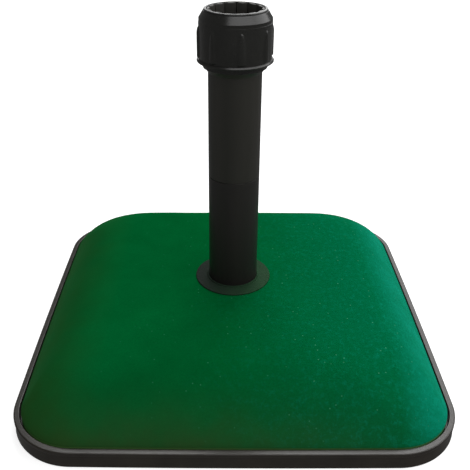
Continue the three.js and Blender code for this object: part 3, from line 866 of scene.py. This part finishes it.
def moulded_plastic(name, dark, light, roughness, specular, scuffed=0.05, streaks=None):
    """Moulded or extruded plastic: faint clouds in the colour, and a fine grain or drawn lines."""
    look = Look(name, Specular_IOR_Level=specular)
    clouds = look.noise(28, detail=4, stretch=streaks or (1, 1, 1))
    colour = look.mixed(look.levels(clouds, 0.3, 0.7), dark, light)
    scuffs = look.noise(3, detail=6, roughness=0.75, stretch=streaks or (1, 1, 0.5))
    gloss = look.levels(scuffs, 0.35, 0.7, roughness - scuffed, roughness + 1.8 * scuffed)
    relief = look.bump(look.noise(0.35, detail=2, stretch=streaks or (1, 1, 1)), 0.24 * scuffed)
    relief = look.bump(look.noise(14, detail=2), 0.05, relief)
    return look.wear(colour, gloss, relief)


def flange_plastic():
    """Black plastic with a painted green reflection of the dome on it, strongest on its right,
    which faces the lamps.
    """
    look = Look("flange_plastic", Specular_IOR_Level=0.02)
    # Painted reflection of the green dome, strongest on the right.
    painted_reflection = look.levels(look.axis(0), -40, 30)
    reflection_patches = look.levels(look.noise(9, detail=4, stretch=(1, 1, 3)), 0.3, 0.7, 0.8, 1)
    colour = look.mixed(look.times(painted_reflection, reflection_patches), rgb(35, 40, 37), rgb(34, 62, 40))
    roughness = look.levels(look.noise(4), 0.3, 0.7, 0.55, 0.68)
    return look.wear(colour, roughness, look.bump(look.noise(0.6, detail=3), 0.02))


def zinc_plate():
    look = Look("zinc_plate", Metallic=1.0)
    spangle = look.noise(2.5, detail=4, roughness=0.6)
    colour = look.mixed(look.levels(spangle, 0.3, 0.7), rgb(172, 174, 178), rgb(206, 207, 208))
    gloss = look.levels(look.noise(0.8, detail=3), 0.3, 0.7, 0.3, 0.45)
    return look.wear(colour, gloss, look.bump(look.noise(0.4), 0.01))


def pad_rubber():
    look = Look("pad_rubber", Specular_IOR_Level=0.3)
    dust = look.noise(6, detail=5, roughness=0.65)
    colour = look.mixed(look.levels(dust, 0.4, 0.75), rgb(20, 20, 20), rgb(44, 43, 41))
    gloss = look.levels(look.noise(2), 0.3, 0.7, 0.72, 0.88)
    return look.wear(colour, gloss, look.bump(look.noise(0.5, detail=3), 0.03))


# ---- the object ----


def build_object():
    paint = green_paint()
    tray = moulded_plastic(
        "tray_plastic", rgb(31, 27, 22), rgb(38, 34, 28), 0.3, 0.45, scuffed=0.02
    )
    black = moulded_plastic("black_plastic", rgb(20, 20, 19), rgb(26, 26, 24), 0.42, 0.3)
    nut = moulded_plastic("nut_plastic", rgb(24, 24, 22), rgb(28, 28, 26), 0.26, 0.4, scuffed=0.01)
    drawn = (1, 1, 0.03)  # streaks along the tube
    tube = moulded_plastic(
        "tube_plastic", rgb(30, 29, 28), rgb(34, 33, 31), 0.34, 0.18, streaks=drawn
    )
    soft = moulded_plastic(
        "soft_plastic", rgb(30, 30, 26), rgb(38, 37, 33), 0.38, 0.3, streaks=drawn
    )
    # Painted light: the collet sits in shade inside the nut's mouth, so its black plastic is
    # coloured lighter than the rest.
    grips = moulded_plastic("collet_painted_light_plastic", rgb(42, 41, 38), rgb(50, 49, 45), 0.4, 0.3)
    flange = flange_plastic()
    rubber = pad_rubber()
    zinc = zinc_plate()

    finished(painted_block(), "base", "painted_concrete", paint, "concrete_block")
    finished(tray_moulding(), "base", "tray_plastic", tray, "edge_tray")
    finished(socket_cup(), "base", "black_plastic", black, "cast_socket")
    finished(flange_ring(), "base", "black_plastic", flange, "foot_flange")
    finished(tube_section("lower_section", "lower_tube"), "base", "black_tube", tube, "lower_tube")
    finished(inner_sleeve(), "base", "black_plastic", black, "tube_coupler")
    finished(necked_tube(), "base", "soft_black_plastic", soft, "upper_tube")
    finished(bore_plug(), "base", "black_plastic", black, "tube_plug")
    finished(spread_washer(), "base", "zinc_steel", zinc, "base_washer")
    finished(hex_bolt(), "base", "zinc_steel", zinc, "base_bolt")
    for node in sorted(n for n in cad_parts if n.startswith("pad_")):
        finished(ground_pad(node), "base", "pad_rubber", rubber, node)
    finished(split_collet(), "collet", "soft_black_plastic", grips, "collet")
    finished(nut_body(), "clamp_nut", "nut_plastic", nut, "clamp_nut")


# ---- studio ----

# The camera's turn in radians, and its place in metres.
CAMERA_YAW, CAMERA_PITCH, CAMERA_ROLL = -0.0011, 0.4921, -0.0026
CAMERA_PLACE = Vector((-0.01116, -0.68986, 0.52361))
CAMERA_LENS = 52.98
CAMERA_SHIFT = (0.0255, -0.0434)

WORLD_LIGHT = 0.15
FLOOR_GLOW = 0.73
FLOOR_HALF = 9  # metres
FLOOR_DROP = 0.0002  # metres below the pads, so that no faces coincide
LIT_HEIGHT = 0.2  # metres above the ground, where the lamps point
# Name, azimuth in degrees from the front round to the right, elevation in degrees, then distance,
# width and height in metres, and radiance.
SOFTBOXES = (
    ("overhead", 170, 80, 2.2, 2.0, 2.0, 0.6),
    ("front_high", 20, 51, 2.2, 2.8, 0.9, 3.0),
    ("right", 96, 32, 2.2, 2.6, 1.1, 2.8),
    ("back_right", 158, 32, 2.4, 1.3, 1.0, 2.7),
    ("back_high", 175, 52, 2.4, 1.7, 0.6, 9.0),
    ("back_low", 177, 14, 2.6, 1.5, 0.5, 2.6),
)


def camera():
    """Looks down at the base from the front, a little left of its middle."""
    forward = Vector((
        math.sin(CAMERA_YAW) * math.cos(CAMERA_PITCH),
        math.cos(CAMERA_YAW) * math.cos(CAMERA_PITCH),
        -math.sin(CAMERA_PITCH),
    ))
    right = Vector((math.cos(CAMERA_YAW), -math.sin(CAMERA_YAW), 0))
    up = right.cross(forward)
    turn = Matrix.Rotation(CAMERA_ROLL, 3, forward)
    right, up = turn @ right, turn @ up
    data = bpy.data.cameras.new("camera")
    data.sensor_width = 36
    data.lens = CAMERA_LENS
    data.shift_x, data.shift_y = CAMERA_SHIFT
    data.clip_start = 0.01
    data.clip_end = 50
    view = bpy.data.objects.new("camera", data)
    facing = Matrix((right, up, -forward)).transposed()
    view.matrix_world = Matrix.Translation(CAMERA_PLACE) @ facing.to_4x4()
    bpy.context.scene.collection.objects.link(view)
    bpy.context.scene.camera = view


def softbox(name, azimuth, elevation, distance, width, height, radiance):
    """A rectangular lamp that faces the base, at angles in degrees."""
    azimuth, elevation = math.radians(azimuth), math.radians(elevation)
    flat = distance * math.cos(elevation)
    middle = Vector((0, 0, LIT_HEIGHT))
    place = middle + Vector((
        flat * math.sin(azimuth),
        -flat * math.cos(azimuth),
        distance * math.sin(elevation),
    ))
    data = bpy.data.lights.new(name, "AREA")
    data.shape = "RECTANGLE"
    data.size = width
    data.size_y = height
    data.energy = radiance * math.pi * width * height
    lamp = bpy.data.objects.new(name, data)
    lamp.location = place
    lamp.rotation_mode = "QUATERNION"
    lamp.rotation_quaternion = (middle - place).to_track_quat("-Z", "Y")
    bpy.context.scene.collection.objects.link(lamp)


def studio():
    scene = bpy.context.scene
    scene.view_settings.view_transform = "Standard"
    world = bpy.data.worlds.new("studio")
    world.use_nodes = True
    sky = world.node_tree.nodes["Background"].inputs
    sky["Color"].default_value = (1, 1, 1, 1)
    sky["Strength"].default_value = WORLD_LIGHT
    scene.world = world
    for lamp in SOFTBOXES:
        softbox(*lamp)

    mesh = bpy.data.meshes.new("floor")
    sheet = bmesh.new()
    bmesh.ops.create_grid(sheet, x_segments=8, y_segments=8, size=FLOOR_HALF)
    sheet.to_mesh(mesh)
    sheet.free()
    floor = bpy.data.objects.new("floor", mesh)
    floor.location.z = -FLOOR_DROP
    floor.visible_glossy = False  # the gloss on the object comes from the lamps alone
    look = Look(
        "floor_sweep",
        Specular_IOR_Level=0.1,
        Roughness=0.8,
        Emission_Color=(1, 1, 1, 1),
        Emission_Strength=FLOOR_GLOW,
    )
    look.feed(
        look.shader.inputs["Base Color"],
        look.mixed(look.noise(400), (0.5, 0.5, 0.5, 1), (0.53, 0.53, 0.53, 1)),
    )
    mesh.materials.append(look.material)
    scene.collection.objects.link(floor)


camera()
build_object()
studio()
